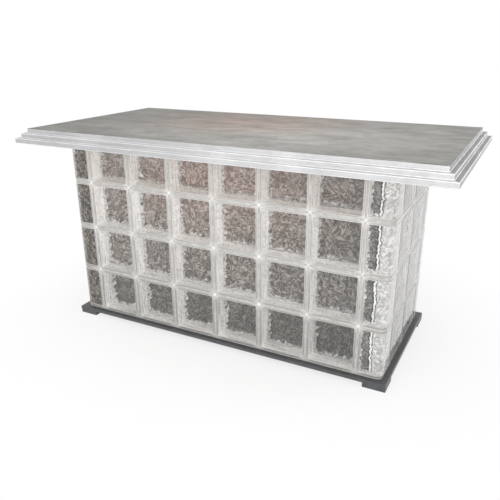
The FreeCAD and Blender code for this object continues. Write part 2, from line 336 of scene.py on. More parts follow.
def clear_glass():
    """Smooth face of a block: clear, with the slow waviness of pressed glass."""
    finish = Finish("glass_face", Transmission_Weight=1.0, IOR=GLASS_IOR, Roughness=0.02)
    slow = finish.noise(finish.place(), 18.0, detail=2.0)
    finish.paint(finish.ramp(slow, (0.3, shade(249, 249, 249)), (0.7, shade(254, 254, 254))))
    finish.bump(slow, 0.4, 0.002)
    let_light_in(finish)
    return finish.material


def rippled_glass():
    """Inside of the outer pane: clear, with fine crackle on top of the modelled ripple."""
    finish = Finish("glass_ripple", Transmission_Weight=1.0, IOR=GLASS_IOR, Roughness=0.03)
    crackle = finish.strokes(finish.place())
    finish.paint(finish.ramp(crackle, (0.36, shade(220, 219, 218)), (0.56, shade(254, 254, 254))))
    finish.bump(crackle, 0.2, 0.0015)
    let_light_in(finish)
    return finish.material


def far_glass():
    """Inside of the inner pane: rippled glass painted dusky, a painted shade for the dim space seen through
    it, with pale strokes and a bright crinkled edge, a painted highlight. A painted warm reflection makes it
    warmer in the middle of the upper courses; painted shade makes it dark near the black base and darker
    towards the right."""
    finish = Finish("glass_far", Transmission_Weight=0.30, IOR=GLASS_IOR, Roughness=0.15)
    where = finish.place()
    strokes = finish.strokes(where)
    # Dusky tones in painted shade for the dim space seen through the pane; the darkest, for the lowest
    # course, stands in for the black base seen through it.
    dark_tone = finish.ramp(strokes, (0.38, shade(62, 59, 54)), (0.50, shade(86, 82, 75)),
                            (0.63, shade(138, 133, 124)))
    cool_tone = finish.ramp(strokes, (0.36, shade(79, 73, 67)), (0.48, shade(110, 102, 94)),
                            (0.64, shade(188, 180, 171)))
    warm_tone = finish.ramp(strokes, (0.36, shade(114, 92, 83)), (0.48, shade(150, 128, 117)),
                            (0.64, shade(199, 182, 173)))
    # Painted warm reflection, strongest in the middle of the upper courses.
    along = finish.axis(where, "X")
    central = finish.span(finish.math("ABSOLUTE", along), 1.0, 0.25, start=0.2, end=0.55)
    warmth = finish.math("MULTIPLY", finish.rise(where, *WARM_RISE), central)
    upper_tone = finish.blend("MIX", warmth, cool_tone, warm_tone)
    tone = finish.blend("MIX", finish.rise(where, *DARK_RISE), dark_tone, upper_tone)
    # Painted shade: darker towards the right-hand end.
    dusk = finish.ramp(finish.step(along, 0.0, HALF_LENGTH), (0.0, WHITE), (1.0, shade(204, 208, 210)))
    # Painted highlight: pale crinkled strokes along the edge of the pane.
    crinkle = finish.ramp(strokes, (0.40, shade(190, 188, 184)), (0.52, shade(254, 253, 250)))
    wander = finish.span(finish.noise(where, 62.0, detail=2.0), -0.4, 0.4, start=0.3, end=0.7)
    from_edge = finish.math("ADD", finish.attribute("inward"), wander)
    edged = finish.blend("MIX", finish.fall(from_edge, -0.62, -0.36), tone, crinkle)
    finish.paint(finish.blend("MULTIPLY", 1.0, edged, dusk))
    finish.bump(strokes, 0.6, 0.002)
    return finish.material


def side_wall(name, dim, flute, axis, middle):
    """Side walls of the hollow: glass with the white edge coat behind it, in fine flutes along the wall.
    It is brightest in the corners, in painted highlight, and darker low down, in painted shade. A dim below
    1 makes a darker copy in painted shade."""
    finish = Finish(name, Roughness=0.22, IOR=GLASS_IOR)
    where = finish.place()
    flutes = finish.noise(finish.place(flute), 1.0, detail=3.0, distortion=0.3)
    low_tone = finish.ramp(flutes, (0.36, pale_grey(196 * dim)), (0.56, pale_grey(242 * dim)))
    high_tone = finish.ramp(flutes, (0.34, pale_grey(224 * dim)), (0.52, pale_grey(255 * dim)))
    # Painted shade: darker low down, near the black base.
    tone = finish.blend("MIX", finish.rise(where, *PALE_RISE), low_tone, high_tone)
    # Painted highlight where four blocks meet.
    bright = finish.math("MULTIPLY", finish.crossing(where, axis, middle), 0.85)
    finish.paint(finish.blend("MIX", bright, tone, pale_grey(255 * dim)))
    finish.bump(flutes, 0.5, 0.0016)
    return finish.material


def rim_glass(name, dim, axis, middle):
    """Solid rim round a face: pale glass in which the flutes of the edge show as fine lines. It is brightest
    in the corners, in painted highlight, and darker low down, in painted shade. A dim below 1 makes a darker
    copy in painted shade."""
    finish = Finish(name, Roughness=0.16, IOR=GLASS_IOR)
    where = finish.place()
    waves = finish.math("SINE", finish.math("MULTIPLY", finish.attribute("inward"), 8.5))
    cloud = finish.math("MULTIPLY", finish.noise(where, 46.0, detail=3.0), 0.38)
    lines = finish.math("ADD", finish.span(waves, 0.0, 0.62, start=-1.0), cloud)
    low_tone = finish.ramp(lines, (0.2, pale_grey(132 * dim)), (0.8, pale_grey(166 * dim)))
    high_tone = finish.ramp(lines, (0.2, pale_grey(154 * dim)), (0.8, pale_grey(196 * dim)))
    # Painted shade: darker low down, near the black base.
    tone = finish.blend("MIX", finish.rise(where, *PALE_RISE), low_tone, high_tone)
    # Painted highlight where four blocks meet.
    bright = finish.math("MULTIPLY", finish.crossing(where, axis, middle), 0.35)
    finish.paint(finish.blend("MIX", bright, tone, pale_grey(246 * dim)))
    finish.bump(lines, 0.4, 0.0006)
    return finish.material


def corner_glass(name, front_tones=None):
    """Inside of a corner unit's outer side, painted with the light and shade seen through it. Beside the
    joint it is clear and dusky, in painted shade; past the wandering rib, whose place the mesh carries, it
    is pale and crackled, in painted light, and painted shade lines run beside the rib. The foot of each unit
    is pale too, in painted light.
    Front tones turn the part that faces the front dusky, in painted shade."""
    finish = Finish(name, Transmission_Weight=0.2, IOR=GLASS_IOR, Roughness=0.12)
    where = finish.place()
    crackle = finish.strokes(where)
    shake = finish.noise(where, 120.0, detail=1.5)

    def shaken(value, reach):
        return finish.math("ADD", value, finish.span(shake, -reach, reach, start=0.25, end=0.75))

    run = shaken(finish.attribute("inward"), 0.035)
    # Painted shade: the dark lines beside the rib.
    line = shade(96, 95, 94)
    # Painted shade: the dusky window beside the joint, with pale flecks.
    flecks = finish.ramp(crackle, (0.44, shade(92, 90, 88)), (0.62, shade(140, 138, 136)))
    # Painted light: the pale zone past the rib and at the foot of each unit.
    blotch = finish.noise(where, 64.0, detail=3.0, roughness=0.6, distortion=1.4)
    pale = finish.ramp(blotch, (0.40, shade(178, 177, 176)), (0.50, shade(204, 203, 202)),
                       (0.60, shade(242, 241, 240)))
    # Painted shade: the part that faces the front is turned dusky.
    if front_tones:
        dusky = finish.ramp(blotch, *zip((0.40, 0.50, 0.60), front_tones))
        facing = finish.fall(finish.axis(where, "Y"), front_low.y + 0.012, front_low.y + 0.05)
        pale = finish.blend("MIX", facing, pale, dusky)
    window = finish.blend("MIX", finish.step(shaken(run, 0.1), 0.16, 0.22), pale, flecks)
    left_line = finish.ramp(run, (0.57, WHITE), (0.60, line), (0.63, line))
    right_line = finish.ramp(run, (0.715, WHITE), (0.735, line), (0.765, line))
    before_rib = finish.blend("MULTIPLY", 1.0, window, left_line)
    past_rib = finish.blend("MIX", finish.step(run, 0.765, 0.79), right_line, pale)
    zones = finish.blend("MIX", finish.step(run, 0.63, 0.645), before_rib, past_rib)
    # Painted light: the pale foot of each unit.
    footed = finish.blend("MIX", finish.fall(shaken(finish.in_course(where), 0.05), 0.09, 0.13), zones, pale)
    marks = finish.ramp(crackle, (0.36, shade(160, 159, 158)), (0.60, WHITE))
    finish.paint(finish.blend("MULTIPLY", 0.35, footed, marks))
    finish.bump(crackle, 0.7, 0.0025)
    return finish.material


def brushed_metal(name, turn, metallic, mottle, low, middle, high):
    """Dull brushed sheet with streaks along it, mottled by handling, between three tones."""
    finish = Finish(name, Metallic=metallic)
    streaks = finish.noise(finish.place((1.2, 60, 60), turn), 9.0, detail=5.0, roughness=0.65)
    fine = finish.noise(finish.place((4, 300, 300), turn), 9.0, detail=3.0)
    clouds = finish.noise(finish.place(mottle, turn), 1.0, detail=8.0, roughness=0.7, distortion=0.4)
    tone = finish.ramp(finish.blend("MIX", 0.35, clouds, streaks), (0.36, low), (0.5, middle), (0.64, high))
    lines = finish.ramp(fine, (0.3, shade(176, 176, 176)), (0.7, WHITE))
    finish.paint(finish.blend("MULTIPLY", 0.35, tone, lines), Roughness=finish.span(streaks, 0.40, 0.54))
    finish.bump(fine, 0.12, 0.0004)
    return finish


def trim_metal(name, turn, metallic, low):
    """Brushed metal of one face of the trim, from its darkest tone up."""
    tones = [shade(low + add, low + add, low + add + 1) for add in (0, 14, 28)]
    return brushed_metal(name, turn, metallic, (5, 11, 5), *tones).material


def painted_light_top():
    """The top sheet: brightest round a spot right of the middle and darker towards the ends, in painted
    light and shade, with a warm painted reflection towards the back.
    """
    finish = brushed_metal("top_brushed_metal", (0, 0, 0), 0.7, (6, 11, 6), shade(134, 132, 128),
                           shade(168, 166, 162), shade(200, 198, 195))
    tone = finish.shader.inputs["Base Color"].links[0].from_socket
    cloud = finish.span(finish.noise(finish.place(), 6.0, detail=6.0, roughness=0.65), -0.35, 0.35)
    # Painted warm reflection towards the back.
    warm_reflection_reach = finish.math("ADD", finish.apart((-0.12, 0.18, 0), (1.6, 2.0, 0)), cloud)
    warm = finish.ramp(warm_reflection_reach, (0.0, shade(255, 224, 211)), (0.5, shade(255, 239, 232)),
                       (1.0, shade(250, 250, 249)))
    # Painted light round a spot right of the middle, falling off to painted shade towards the ends.
    light_reach = finish.math("ADD", finish.apart((0.25, -0.1, 0), (1.0, 1.4, 0)), cloud)
    painted_falloff = finish.ramp(light_reach, (0.2, WHITE), (1.1, shade(188, 187, 184)))
    finish.paint(finish.blend("MULTIPLY", 1.0, finish.blend("MULTIPLY", 1.0, tone, warm), painted_falloff))
    return finish.material


def black_base():
    """Satin black paint over board, scuffed to grey in places."""
    finish = Finish("base_satin_black", Specular_IOR_Level=0.5)
    grain = finish.noise(finish.place((6, 90, 90)), 6.0, detail=4.0)
    scuff = finish.noise(finish.place(), 26.0, detail=6.0, roughness=0.7)
    tone = finish.ramp(finish.blend("MIX", 0.5, grain, scuff), (0.35, shade(60, 61, 62)),
                       (0.6, shade(82, 83, 85)), (0.75, shade(110, 112, 114)))
    finish.paint(tone, Roughness=finish.span(scuff, 0.34, 0.52))
    finish.bump(grain, 0.2, 0.0006)
    return finish.material


def plywood():
    """Plain pale board with grain along X."""
    finish = Finish("board_plain_wood", Roughness=0.6)
    grain = finish.noise(finish.place((2, 46, 46)), 5.0, detail=6.0, roughness=0.6, distortion=0.5)
    rings = finish.noise(finish.place((0.6, 7, 7)), 4.0, detail=3.0, distortion=1.2)
    finish.paint(finish.ramp(finish.blend("MIX", 0.4, rings, grain), (0.3, shade(150, 116, 80)),
                             (0.5, shade(186, 152, 110)), (0.7, shade(208, 178, 138))))
    finish.bump(grain, 0.3, 0.0008)
    return finish.material


def grained(name, tones, scale, detail, strength, distance, distortion=0.0, **settings):
    """Plain material between two tones, with one grain in its colour and its surface."""
    finish = Finish(name, **settings)
    grain = finish.noise(finish.place(), scale, detail=detail, distortion=distortion)
    finish.paint(finish.ramp(grain, *zip((0.3, 0.7), tones)))
    finish.bump(grain, strength, distance)
    return finish.material


def sealant_rubber(name, low, high):
    """Milky clear sealant, tooled by hand, between two greys."""
    tones = (shade(low, low - 1, low - 5), shade(high, high - 1, high - 5))
    return grained(name, tones, 55.0, 4.0, 0.5, 0.0012, distortion=0.7, Roughness=0.3, IOR=1.42)


def screw_steel():
    finish = Finish("screw_zinc", Metallic=1.0)
    grain = finish.noise(finish.place(), 700.0, detail=3.0)
    tone = finish.ramp(grain, (0.3, shade(150, 152, 156)), (0.7, shade(196, 198, 202)))
    finish.paint(tone, Roughness=finish.span(grain, 0.25, 0.45))
    return finish.material


# Mesh helpers

class Shape:
    """Points and faces of one piece, gathered part by part."""

    def __init__(self):
        self.points = []
        self.faces = []
        self.slots = []
        self.marks = []
        self.count = 0

    def add(self, points, faces, slots, marks=None, place=None):
        """Adds a part, with one slot for all faces or one for each, and a mark for each point."""
        points = np.asarray(points, float)
        if place is not None:
            grid = np.array(place)
            points = points @ grid[:3, :3].T + grid[:3, 3]
        self.points.append(points)
        self.faces += [[index + self.count for index in face] for face in faces]
        self.slots += list(slots) if np.ndim(slots) else [slots] * len(faces)
        self.marks.append(np.zeros(len(points)) if marks is None else np.asarray(marks, float))
        self.count += len(points)

    def piece(self, name, materials, smooth=True, sharp=30.0):
        mesh = bpy.data.meshes.new(name)
        mesh.from_pydata(np.concatenate(self.points).tolist(), [], self.faces)
        for material in materials:
            mesh.materials.append(material)
        mesh.polygons.foreach_set("material_index", self.slots)
        inward = mesh.attributes.new("inward", "FLOAT", "POINT")
        inward.data.foreach_set("value", np.concatenate(self.marks).astype(np.float32))
        mesh.validate()
        if smooth:
            mesh.shade_smooth()
            mesh.set_sharp_from_angle(angle=math.radians(sharp))
        made = bpy.data.objects.new(name, mesh)
        bpy.context.scene.collection.objects.link(made)
        return made


def on_wall(wall, along, height):
    """From a wall's own frame, X along it and Y into it, to the place of a block."""
    turn = Matrix.Rotation(math.pi / 2 * WALLS[wall], 4, "Z")
    return Matrix.Translation(RING_CENTRE) @ turn @ Matrix.Translation((along, -REACH[wall], height))


def bridge(first, second, count, closed=True):
    """Quads between two rows of points, given the first index of each."""
    steps = count if closed else count - 1
    return [[first + i, first + (i + 1) % count, second + (i + 1) % count, second + i] for i in range(steps)]


def loft(rows, size):
    """Faces between closed rows of points of one size, and a cap on the first and the last row."""
    faces = []
    for row in range(rows - 1):
        faces += bridge(row * size, (row + 1) * size, size)
    last = (rows - 1) * size
    return faces + [list(range(size))[::-1], list(range(last, last + size))]


def show(piece, slot, *nodes):
    """Shows a piece, on the only body, in the place of CAD nodes."""
    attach(piece, "root")
    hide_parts(*nodes)


# Glass blocks

def ripple_height(x, z, seed):
    """Irregular pressed ripple, about -1 to 1: crests that wander and break off."""
    spot = Vector((x, z, seed))
    drift = noise.noise_vector(spot / (RIPPLE_LENGTH * DRIFT_LENGTH)) * RIPPLE_LENGTH * RIPPLE_DRIFT
    bent = (spot + Vector((drift.x, drift.y, 0))) / RIPPLE_LENGTH
    bent.z = seed
    coarse = 1 - 2 * abs(noise.noise(bent))
    fine = noise.noise(bent * FINE_WAVES)
    return CREST_SHARE * coarse + FINE_SHARE * fine


def ripple_sheet(seed):
    """Ripple over a square pane. It dies out at the edges."""
    sheet = np.zeros((CELLS + 1, CELLS + 1))
    for row in range(1, CELLS):
        for column in range(1, CELLS):
            x = (2 * column / CELLS - 1) * HOLLOW
            z = (2 * row / CELLS - 1) * HOLLOW
            edge = min(row, column, CELLS - row, CELLS - column)
            sheet[row, column] = ripple_height(x, z, seed) * min(1.0, edge / FADE_CELLS)
    return sheet * RIPPLE


def rounded_square(half, radius):
    """Loop of points round a square with rounded corners, middle at the origin."""
    points = []
    for corner, (x, z) in enumerate([(1, 1), (-1, 1), (-1, -1), (1, -1)]):
        for step in range(ROUND_STEPS + 1):
            angle = math.pi / 2 * (corner + step / ROUND_STEPS)
            points.append((x * (half - radius) + radius * math.cos(angle),
                           z * (half - radius) + radius * math.sin(angle)))
    return points


GLASS_FACE, GLASS_RIPPLE, GLASS_FAR, SIDE_WALL, RIM_GLASS, EDGE_COAT = range(6)


def block_skin():
    """Outside of a block: two faces with a rim, and an edge with lips and a keyway."""
    near = [(RIM, 0, 1.0)]
    for step in range(ROUND_STEPS + 1):
        angle = math.pi / 2 * step / ROUND_STEPS
        inset = FACE_ROUND * (1 - math.sin(angle))
        near.append((inset, FACE_ROUND * (1 - math.cos(angle)), inset / RIM))
    near += [(0, LIP, 0), (KEY_DEPTH, LIP + KEY_DEPTH, 0)]
    rings = near + [(inset, DEPTH - y, mark) for inset, y, mark in reversed(near)]
    points, marks, slots = [], [], []
    for inset, y, mark in rings:
        loop = rounded_square(FACE / 2 - inset, max(CORNER_CUT - inset * CUT_EASE, LEAST_CUT))
        points += [(x, y, z) for x, z in loop]
        marks += [mark] * len(loop)
    for row in range(len(rings) - 1):
        between_lips = len(near) - 2 <= row <= len(near)
        slots += [EDGE_COAT if between_lips else RIM_GLASS] * len(loop)
    slots += [GLASS_FACE, GLASS_FACE]
    faces = [face[::-1] for face in loft(len(rings), len(loop))]
    return np.array(points), faces, slots, marks


def pane_grid(y, inset):
    reach = HOLLOW - inset
    steps = np.linspace(-reach, reach, CELLS + 1)
    x, z = np.meshgrid(steps, steps)
    return np.stack([x, np.full_like(x, y), z], -1).reshape(-1, 3)


def grid_rim():
    """Indices round the rim of a pane's grid, one way round."""
    side = CELLS + 1
    bottom = list(range(CELLS))
    right = [row * side + CELLS for row in range(CELLS)]
    top = [CELLS * side + column for column in range(CELLS, 0, -1)]
    left = [row * side for row in range(CELLS, 0, -1)]
    return bottom + right + top + left


def block_hollow():
    """Inside of a block: outer and inner pane joined by side walls that lean in and end in a cove. A pale
    collar round the outer pane closes the rim of the face. Marks run from -1 on the walls, over the cove,
    to 0 at the edge of the inner pane and 1 further in."""
    side = CELLS + 1
    grid = []
    for row in range(CELLS):
        for column in range(CELLS):
            a = row * side + column
            grid.append([a, a + side, a + side + 1, a + 1])
    near_pane = pane_grid(PANE, 0)
    far_pane = pane_grid(DEPTH - PANE, DRAFT + COVE)
    total = len(near_pane)
    faces = grid[:]
    faces += [[index + total for index in reversed(face)] for face in grid]
    slots = [GLASS_RIPPLE] * len(grid) + [GLASS_FAR] * len(grid)
    rim = grid_rim()
    loop = near_pane[rim][:, [0, 2]] / HOLLOW
    to_edge = HOLLOW - DRAFT - COVE - np.abs(far_pane[:, [0, 2]]).max(axis=1)
    points = [near_pane, far_pane]
    marks = [np.full(total, -1.0), np.clip(to_edge / EDGE_FADE, 0, 1)]
    count = 2 * total

    def ring(inset, y, mark=-1.0):
        nonlocal count
        row = np.zeros((len(rim), 3))
        row[:, [0, 2]] = loop * (HOLLOW - inset)
        row[:, 1] = y
        points.append(row)
        marks.append(np.full(len(rim), mark))
        count += len(rim)
        return list(range(count - len(rim), count))

    cove_start = DEPTH - PANE - COVE
    rows = [(ring(0, SKIN), SIDE_WALL), (rim, SIDE_WALL), (ring(DRAFT, cove_start), GLASS_FAR)]
    for step in range(1, COVE_STEPS):
        angle = math.pi / 2 * step / COVE_STEPS
        inset, y = DRAFT + COVE * (1 - math.cos(angle)), cove_start + COVE * math.sin(angle)
        rows.append((ring(inset, y, step / COVE_STEPS - 1), GLASS_FAR))
    rows.append(([index + total for index in rim], GLASS_FAR))
    for (first, slot), (second, _) in zip(rows, rows[1:]):
        for i in range(len(rim)):
            j = (i + 1) % len(rim)
            faces.append([first[i], first[j], second[j], second[i]])
        slots += [slot] * len(rim)
    return np.concatenate(points), faces, slots, np.concatenate(marks)


def varied(sheet):
    """The same pressing, turned by quarter turns and perhaps mirrored."""
    turned = np.rot90(sheet, dice.randrange(4))
    return turned[:, ::-1] if dice.random() < 0.5 else turned


def glass_blocks(long_finish, end_finish):
    skin = block_skin()
    hollow, *hollow_rest = block_hollow()
    near_sheet, far_sheet = ripple_sheet(NEAR_SEED), ripple_sheet(FAR_SEED)
    total = (CELLS + 1) ** 2
    for course in range(COURSES):
        for wall in WALLS:
            shape = Shape()
            for index in range(COUNT[wall]):
                along = (index - (COUNT[wall] - 1) / 2) * PITCH
                place = on_wall(wall, along, FIRST_COURSE + course * PITCH + FACE / 2)
                inside = hollow.copy()
                inside[:total, 1] += varied(near_sheet).ravel()
                inside[total:2 * total, 1] -= varied(far_sheet).ravel()
                shape.add(*skin, place=place)
                shape.add(inside, *hollow_rest, place=place)
            node = "course_%d_%s_blocks" % (course + 1, wall)
            finish = end_finish if wall in ("left", "right") else long_finish
            show(shape.piece("glass_" + node, finish), "block_glass", node)


# Corner units

def corner_path(inset, flat_steps, arc_steps):
    """Plan of a corner unit's outer side from joint to joint, with its outer edge at the origin. Each point
    comes with the distance from the nearer joint."""
    radius = CORNER_ROUND - inset
    points = []
    for step in range(flat_steps):
        run = CORNER_FLAT * step / flat_steps
        points.append((-CORNER_SIDE + run, inset, run))
    for step in range(arc_steps + 1):
        angle = math.pi / 2 * step / arc_steps
        x, y = -CORNER_ROUND + radius * math.sin(angle), CORNER_ROUND - radius * math.cos(angle)
        points.append((x, y, CORNER_FLAT))
    for step in range(1, flat_steps + 1):
        run = CORNER_FLAT * (1 - step / flat_steps)
        points.append((-inset, CORNER_SIDE - run, run))
    return points


def inner_path(inset, flat_steps, arc_steps):
    """Such a plan that ends at the solid rim beside each joint."""
    path = corner_path(inset, flat_steps, arc_steps)
    path[0] = (-CORNER_SIDE + RIM, path[0][1], RIM)
    path[-1] = (path[-1][0], CORNER_SIDE - RIM, RIM)
    return path


CORNER_GLASS, CORNER_PANE, CORNER_WALL, CORNER_RIM, CORNER_COAT = range(5)


def corner_skin():
    """Outer side of a corner unit in strips, and its flat top, bottom and joint sides."""
    flat_steps, arc_steps = 8, 6
    path = corner_path(0, flat_steps, arc_steps)
    eased = corner_path(FACE_ROUND, flat_steps, arc_steps)
    levels = [(0, eased), (FACE_ROUND, path), (RIM, path), (FACE / 2, path), (FACE - RIM, path),
              (FACE - FACE_ROUND, path), (FACE, eased)]
    points, marks, slots = [], [], []
    for z, row in levels:
        points += [(x, y, z) for x, y, run in row] + [(-CORNER_SIDE, CORNER_SIDE, z)]
        marks += [min(1.0, min(run, z, FACE - z) / RIM) for x, y, run in row] + [0]
    for (low, _), (high, _) in zip(levels, levels[1:]):
        rim = high <= RIM or low >= FACE - RIM
        for here, after in zip(path, path[1:]):
            beside_joint = min(here[2], after[2]) == 0
            slots.append(CORNER_RIM if rim or beside_joint else CORNER_GLASS)
        slots += [CORNER_COAT, CORNER_COAT]
    slots += [CORNER_COAT, CORNER_COAT]
    return np.array(points), loft(len(levels), len(path) + 1), slots, marks


def rib_scale(run, rib):
    """Distance from the joint on a scale with the rib at its mark and the start of the outer edge at 1."""
    if run <= rib:
        return RIB_MARK * run / rib
    return min(1.0, RIB_MARK + (run - rib) * (1 - RIB_MARK) / (CORNER_FLAT - CORNER_RIB))


def corner_hollow(seed):
    """Hollow of a corner unit: a rippled outer side with a wandering rib, and flat walls. The mesh carries
    the distance from the joint with the front, stretched so that the rib always lies at the same value."""
    flat_steps, arc_steps, levels = 22, 6, 36
    path = inner_path(RIM, flat_steps, arc_steps)
    size = len(path)
    bottom, top = RIM, FACE - RIM
    points, marks = [], []
    for level in range(levels + 1):
        z = bottom + (top - bottom) * level / levels
        fade = min(1.0, min(level, levels - level) / FADE_CELLS)
        rib = CORNER_RIB + RIB_SWAY * noise.noise(Vector((z * RIB_WAVES, seed, 0)))
        for i, (x, y, run) in enumerate(path):
            before = path[max(i - 1, 0)]
            after = path[min(i + 1, size - 1)]
            normal = Vector((after[1] - before[1], before[0] - after[0])).normalized()
            shift = ripple_height(x - y, z, seed) * RIPPLE * fade
            front = i <= flat_steps
            if front:
                shift -= math.exp(-((run - rib) / RIB_SIZE) ** 2) * RIB_SIZE * fade
            points.append((x + normal.x * shift, y + normal.y * shift, z))
            marks.append(rib_scale(run, rib) if front else 1.0)
        points.append((-CORNER_SIDE + RIM, CORNER_SIDE - RIM, z))
        marks.append(1.0)
    faces = [face[:1] + face[:0:-1] for face in loft(levels + 1, size + 1)]
    slots = ([CORNER_PANE] * (size - 1) + [CORNER_WALL] * 2) * levels + [CORNER_WALL] * 2
    collar = inner_path(SKIN, flat_steps, arc_steps)
    last = levels * (size + 1)
    for first, z in ((0, bottom), (last, top)):
        start = len(points)
        points += [(x, y, z) for x, y, run in collar]
        marks += [1.0] * size
        strip = bridge(start, first, size, closed=False)
        faces += [[face[0], face[3], face[2], face[1]] if first == 0 else face for face in strip]
        slots += [CORNER_WALL] * len(strip)
    low, high = len(points) - 2 * size, len(points) - size
    faces.append([low, high, last, 0])
    faces.append([low + size - 1, size - 1, last + size - 1, high + size - 1])
    slots += [CORNER_WALL] * 2
    return np.array(points), faces, slots, marks


def corner_units(shared, bright_pane, dusky_pane):
    """The corners show their rib and a pale outer edge in painted light, except the one at the front left,
    which is a dusky copy in painted shade.
    """
    skin = corner_skin()
    glass, *rest = shared
    for corner, wall in CORNERS.items():
        shape = Shape()
        for course in range(COURSES):
            place = on_wall(wall, SPAN[wall], FIRST_COURSE + course * PITCH)
            hollow = corner_hollow(dice.uniform(0, 50))
            shape.add(*skin, place=place)
            shape.add(*hollow, place=place)
        node = "corner_units_" + corner
        pane = dusky_pane if corner == "front_left" else bright_pane
        show(shape.piece("glass_" + node, [glass, pane, *rest]), "block_glass", node)


# Sealant

def bead(shape, wall, start, end, upright):
    """Tooled bead with a drawn-in middle, from start to end in the wall's own X and Z."""
    half = JOINT / 2
    face = [(half * share, BEAD_SINK + BEAD_HOLLOW * (1 - share ** 2)) for share in (-1, -0.5, 0, 0.5, 1)]
    profile = [(-half, LIP), *face, (half, LIP)]
    length = max(abs(end[0] - start[0]), abs(end[1] - start[1]))
    steps = max(2, round(length / BEAD_STEP))
    points = []
    for step in range(steps + 1):
        share = step / steps
        x = start[0] + (end[0] - start[0]) * share
        z = start[1] + (end[1] - start[1]) * share
        for across, y in profile:
            spot = Vector((x * BEAD_WAVES, z * BEAD_WAVES, y * BEAD_DEPTH_WAVES))
            depth = y if y == LIP else y + BEAD_UNEVEN * noise.noise(spot)
            points.append((x + across, depth, z) if upright else (x, depth, z - across))
    shape.add(points, loft(steps + 1, len(profile)), 0, place=on_wall(wall, 0, FIRST_COURSE))


def blob(shape, wall, x, z):
    """Sealant pressed into the gap where four blocks meet: a low uneven dome."""
    points = []
    for share, y in BLOB_RINGS:
        for side in range(BLOB_SIDES):
            angle = 2 * math.pi * side / BLOB_SIDES
            lobe = 1 + BLOB_LOBE * math.cos(4 * angle) + BLOB_UNEVEN * dice.uniform(-1, 1)
            reach = BLOB * share * lobe
            points.append((x + reach * math.cos(angle), y, z + reach * math.sin(angle)))
    # Slot 1 is the brighter sealant, a painted highlight.
    shape.add(points, loft(len(BLOB_RINGS), BLOB_SIDES), 1, place=on_wall(wall, 0, FIRST_COURSE))


def sealant(materials):
    for wall in WALLS:
        shape = Shape()
        joints = [(i - COUNT[wall] / 2) * PITCH for i in range(COUNT[wall] + 1)]
        levels = [course * PITCH - JOINT / 2 for course in range(1, COURSES)]
        for x in joints:
            bead(shape, wall, (x, 0), (x, RING_HEIGHT), True)
        for z in levels:
            for x in joints[:-1]:
                bead(shape, wall, (x + JOINT / 2, z), (x + PITCH - JOINT / 2, z), False)
            for x in joints:
                blob(shape, wall, x, z)
        show(shape.piece("beads_" + wall, materials), "sealant", "sealant_" + wall)


# Metal top

TRIM_RISER, TRIM_TREAD, TRIM_FOLD = range(3)


def rounded_path(corners, radius):
    """Open path through corners, each inner one rounded. A point just before and after each rounding keeps
    the straight parts flat in the light."""
    path = [Vector(corners[0])]
    for before, corner, after in zip(corners, corners[1:], corners[2:]):
        middle = Vector(corner)
        back = (Vector(before) - middle).normalized()
        ahead = (Vector(after) - middle).normalized()
        centre = middle + (back + ahead) * radius
        path.append(middle + back * (radius + FLAT_GUARD))
        for step in range(ROUND_STEPS + 1):
            angle = math.pi / 2 * step / ROUND_STEPS
            path.append(centre - ahead * radius * math.cos(angle) - back * radius * math.sin(angle))
        path.append(middle + ahead * (radius + FLAT_GUARD))
    return path + [Vector(corners[-1])]


def stepped_trim(along_finish, across_finish):
    """Folded cladding of the three steps on each side, mitred at the corners."""
    low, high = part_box("edge_trim_front")
    half = {"front": (high.x, -low.y), "right": (-low.y, high.x)}
    half["back"], half["left"] = half["front"], half["right"]
    top = high.z
    first, second, foot = top - STEP_OUT + SHEET, top - 2 * STEP_OUT + SHEET, low.z
    inside = SHEET * SHEET_SHARE
    outer = [(2 * STEP_OUT, top), (2 * STEP_OUT, first), (STEP_OUT, first), (STEP_OUT, second), (0, second),
             (0, foot), (RETURN, foot)]
    inner = [(2 * STEP_OUT + inside, top), (2 * STEP_OUT + inside, first - inside),
             (STEP_OUT + inside, first - inside), (STEP_OUT + inside, second - inside),
             (inside, second - inside), (inside, foot + inside), (RETURN, foot + inside)]
    section = rounded_path(outer, FOLD) + [Vector(point) for point in reversed(inner)]
    slots = []
    # Treads and folds take their own finishes, which carry painted light and a painted highlight.
    for here, after in zip(section, section[1:] + section[:1]):
        level = abs(here.y - after.y) < 1e-6
        folded = (here - after).length < 2 * FOLD
        slots.append(TRIM_FOLD if folded else TRIM_TREAD if level else TRIM_RISER)
    for wall, turn in WALLS.items():
        half_length, half_depth = half[wall]
        points = []
        for side in (-1, 1):
            points += [(side * (half_length - inset), -half_depth + inset, z) for inset, z in section]
        shape = Shape()
        shape.add(points, loft(2, len(section)), slots + [TRIM_RISER] * 2,
                  place=Matrix.Rotation(math.pi / 2 * turn, 4, "Z"))
        # The ends take the darker copies in painted shade.
        finishes = along_finish if wall in ("front", "back") else across_finish
        show(shape.piece("stepped_trim_" + wall, finishes, sharp=40.0), "top_metal", "edge_trim_" + wall)


def top_sheet(material):
    """Flat sheet of the top with an eased rim."""
    rim = SHEET * SHEET_SHARE
    rings = [(0, top_low.z), (0, top_high.z - rim)]
    for step in range(1, ROUND_STEPS + 1):
        angle = math.pi / 2 * step / ROUND_STEPS
        rings.append((rim * (1 - math.cos(angle)), top_high.z - rim + rim * math.sin(angle)))
    rings.append((rim + FLAT_GUARD, top_high.z))
    points = []
    for inset, z in rings:
        points += [(top_low.x + inset, top_low.y + inset, z), (top_high.x - inset, top_low.y + inset, z),
                   (top_high.x - inset, top_high.y - inset, z), (top_low.x + inset, top_high.y - inset, z)]
    shape = Shape()
    shape.add(points, loft(len(rings), 4), 0)
    show(shape.piece("brushed_top", [material], sharp=60.0), "top_metal", "top_sheet")


# Carried-over CAD nodes

def dress(materials):
    """Gives each CAD node that stays its finish, by the start of its name. A later start wins."""
    for name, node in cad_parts.items():
        for start, material in materials.items():
            if name.startswith(start):
                node.data.materials.clear()
                node.data.materials.append(material)


